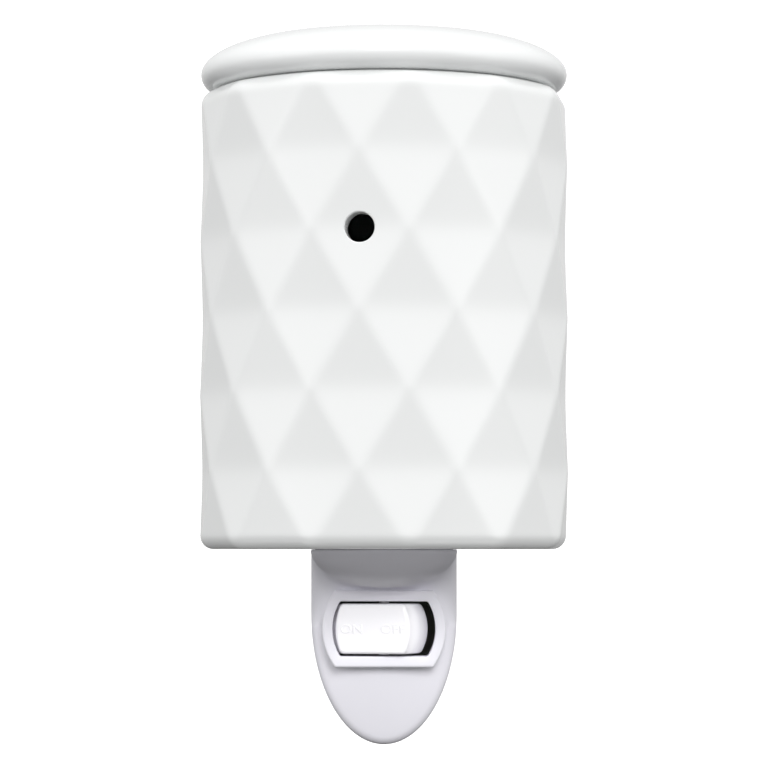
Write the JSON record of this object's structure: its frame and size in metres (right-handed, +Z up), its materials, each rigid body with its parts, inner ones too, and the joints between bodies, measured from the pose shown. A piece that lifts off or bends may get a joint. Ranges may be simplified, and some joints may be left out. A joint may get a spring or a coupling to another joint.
{
  "type": "plug-in wax melt warmer",
  "caption": "Wall plug warmer: a ceramic shade with a diamond relief and a loose melting dish, on a plastic plug housing with a rocker switch.",
  "frame": {"origin": "middle of the plug's flat face, where it meets the wall plate, between the two blades", "axes": "+X to the viewer's right, +Y into the wall along the blades, +Z up along the shade"},
  "size_m": [0.08, 0.1005, 0.1548],
  "materials": {
    "dish_glaze": "gloss white glaze",
    "shade_glaze": "satin white glaze",
    "silicone": "matt silicone",
    "fibre": "pressed fibre",
    "white_plastic": "satin moulded plastic",
    "steel": "zinc plated",
    "switch_plastic": "dark moulded plastic",
    "rocker_plastic": "glossy moulded plastic",
    "brass": "stamped brass",
    "holder_plastic": "heat-proof moulded plastic",
    "bronze": "spring bronze",
    "bulb_glass": "clear",
    "base_metal": "rolled brass",
    "dark_glass": "dark glass",
    "solder": "solder",
    "filament": "drawn wire",
    "blade_brass": "tumbled brass",
    "board": "laminate",
    "line_insulation": "wire insulation",
    "neutral_insulation": "wire insulation"
  },
  "bodies": {
    "housing": {"ceramic_shade": "shade_glaze", "shade_gasket": "silicone", "clamp_washer": "fibre", "clamp_ring_nut": "white_plastic", "front_shell": "white_plastic", "rear_shell": "white_plastic", "housing_screws": "steel", "switch_bezel": "white_plastic", "switch_body": "switch_plastic", "common_terminal": "brass", "load_terminal": "brass", "lamp_holder": "holder_plastic", "lamp_screw_shell": "brass", "lamp_center_contact": "bronze", "holder_screws": "steel", "contact_board": "board", "line_wiper": "bronze", "neutral_wiper": "bronze", "line_wire": "line_insulation", "switched_wire": "line_insulation", "neutral_wire": "neutral_insulation"},
    "dish": {"wax_dish": "dish_glaze"},
    "rocker": {"switch_rocker": "rocker_plastic", "rocker_plunger": "brass", "rocker_spring": "steel"},
    "contact_bar": {"contact_bar": "brass"},
    "plug": {"plug_hub": "white_plastic", "line_blade": "blade_brass", "neutral_blade": "blade_brass", "hub_clip": "steel", "line_slip_ring": "brass", "neutral_stud": "brass"},
    "bulb": {"bulb_glass": "bulb_glass", "bulb_base": "base_metal", "bulb_insulator": "dark_glass", "bulb_tip_contact": "solder", "bulb_stem": "bulb_glass", "bulb_filament": "filament"}
  },
  "joints": [
    {"name": "dish_lift", "type": "slide", "parent": "housing", "child": "dish", "axis": [0, 0, 1], "range_m": [0, 0.035]},
    {"name": "rocker_tilt", "type": "hinge", "parent": "housing", "child": "rocker", "pos_m": [0, -0.0256, 0], "axis": [0, 0, 1], "range_deg": [0, 25]},
    {"name": "bar_tilt", "type": "hinge", "parent": "housing", "child": "contact_bar", "pos_m": [0, -0.0198, 0], "axis": [0, 0, 1], "range_deg": [-14, 0]},
    {"name": "plug_swivel", "type": "hinge", "parent": "housing", "child": "plug", "pos_m": [0, 0, 0], "axis": [0, 1, 0], "range_deg": [0, 90]},
    {"name": "bulb_turn", "type": "hinge", "parent": "housing", "child": "bulb", "pos_m": [0, -0.044, 0.0305], "axis": [0, 0, 1], "range_deg": [0, 720]}
  ],
  "couplings": [
    {"joint": "bar_tilt", "follows": "rocker_tilt", "ratio": -0.56}
  ]
}
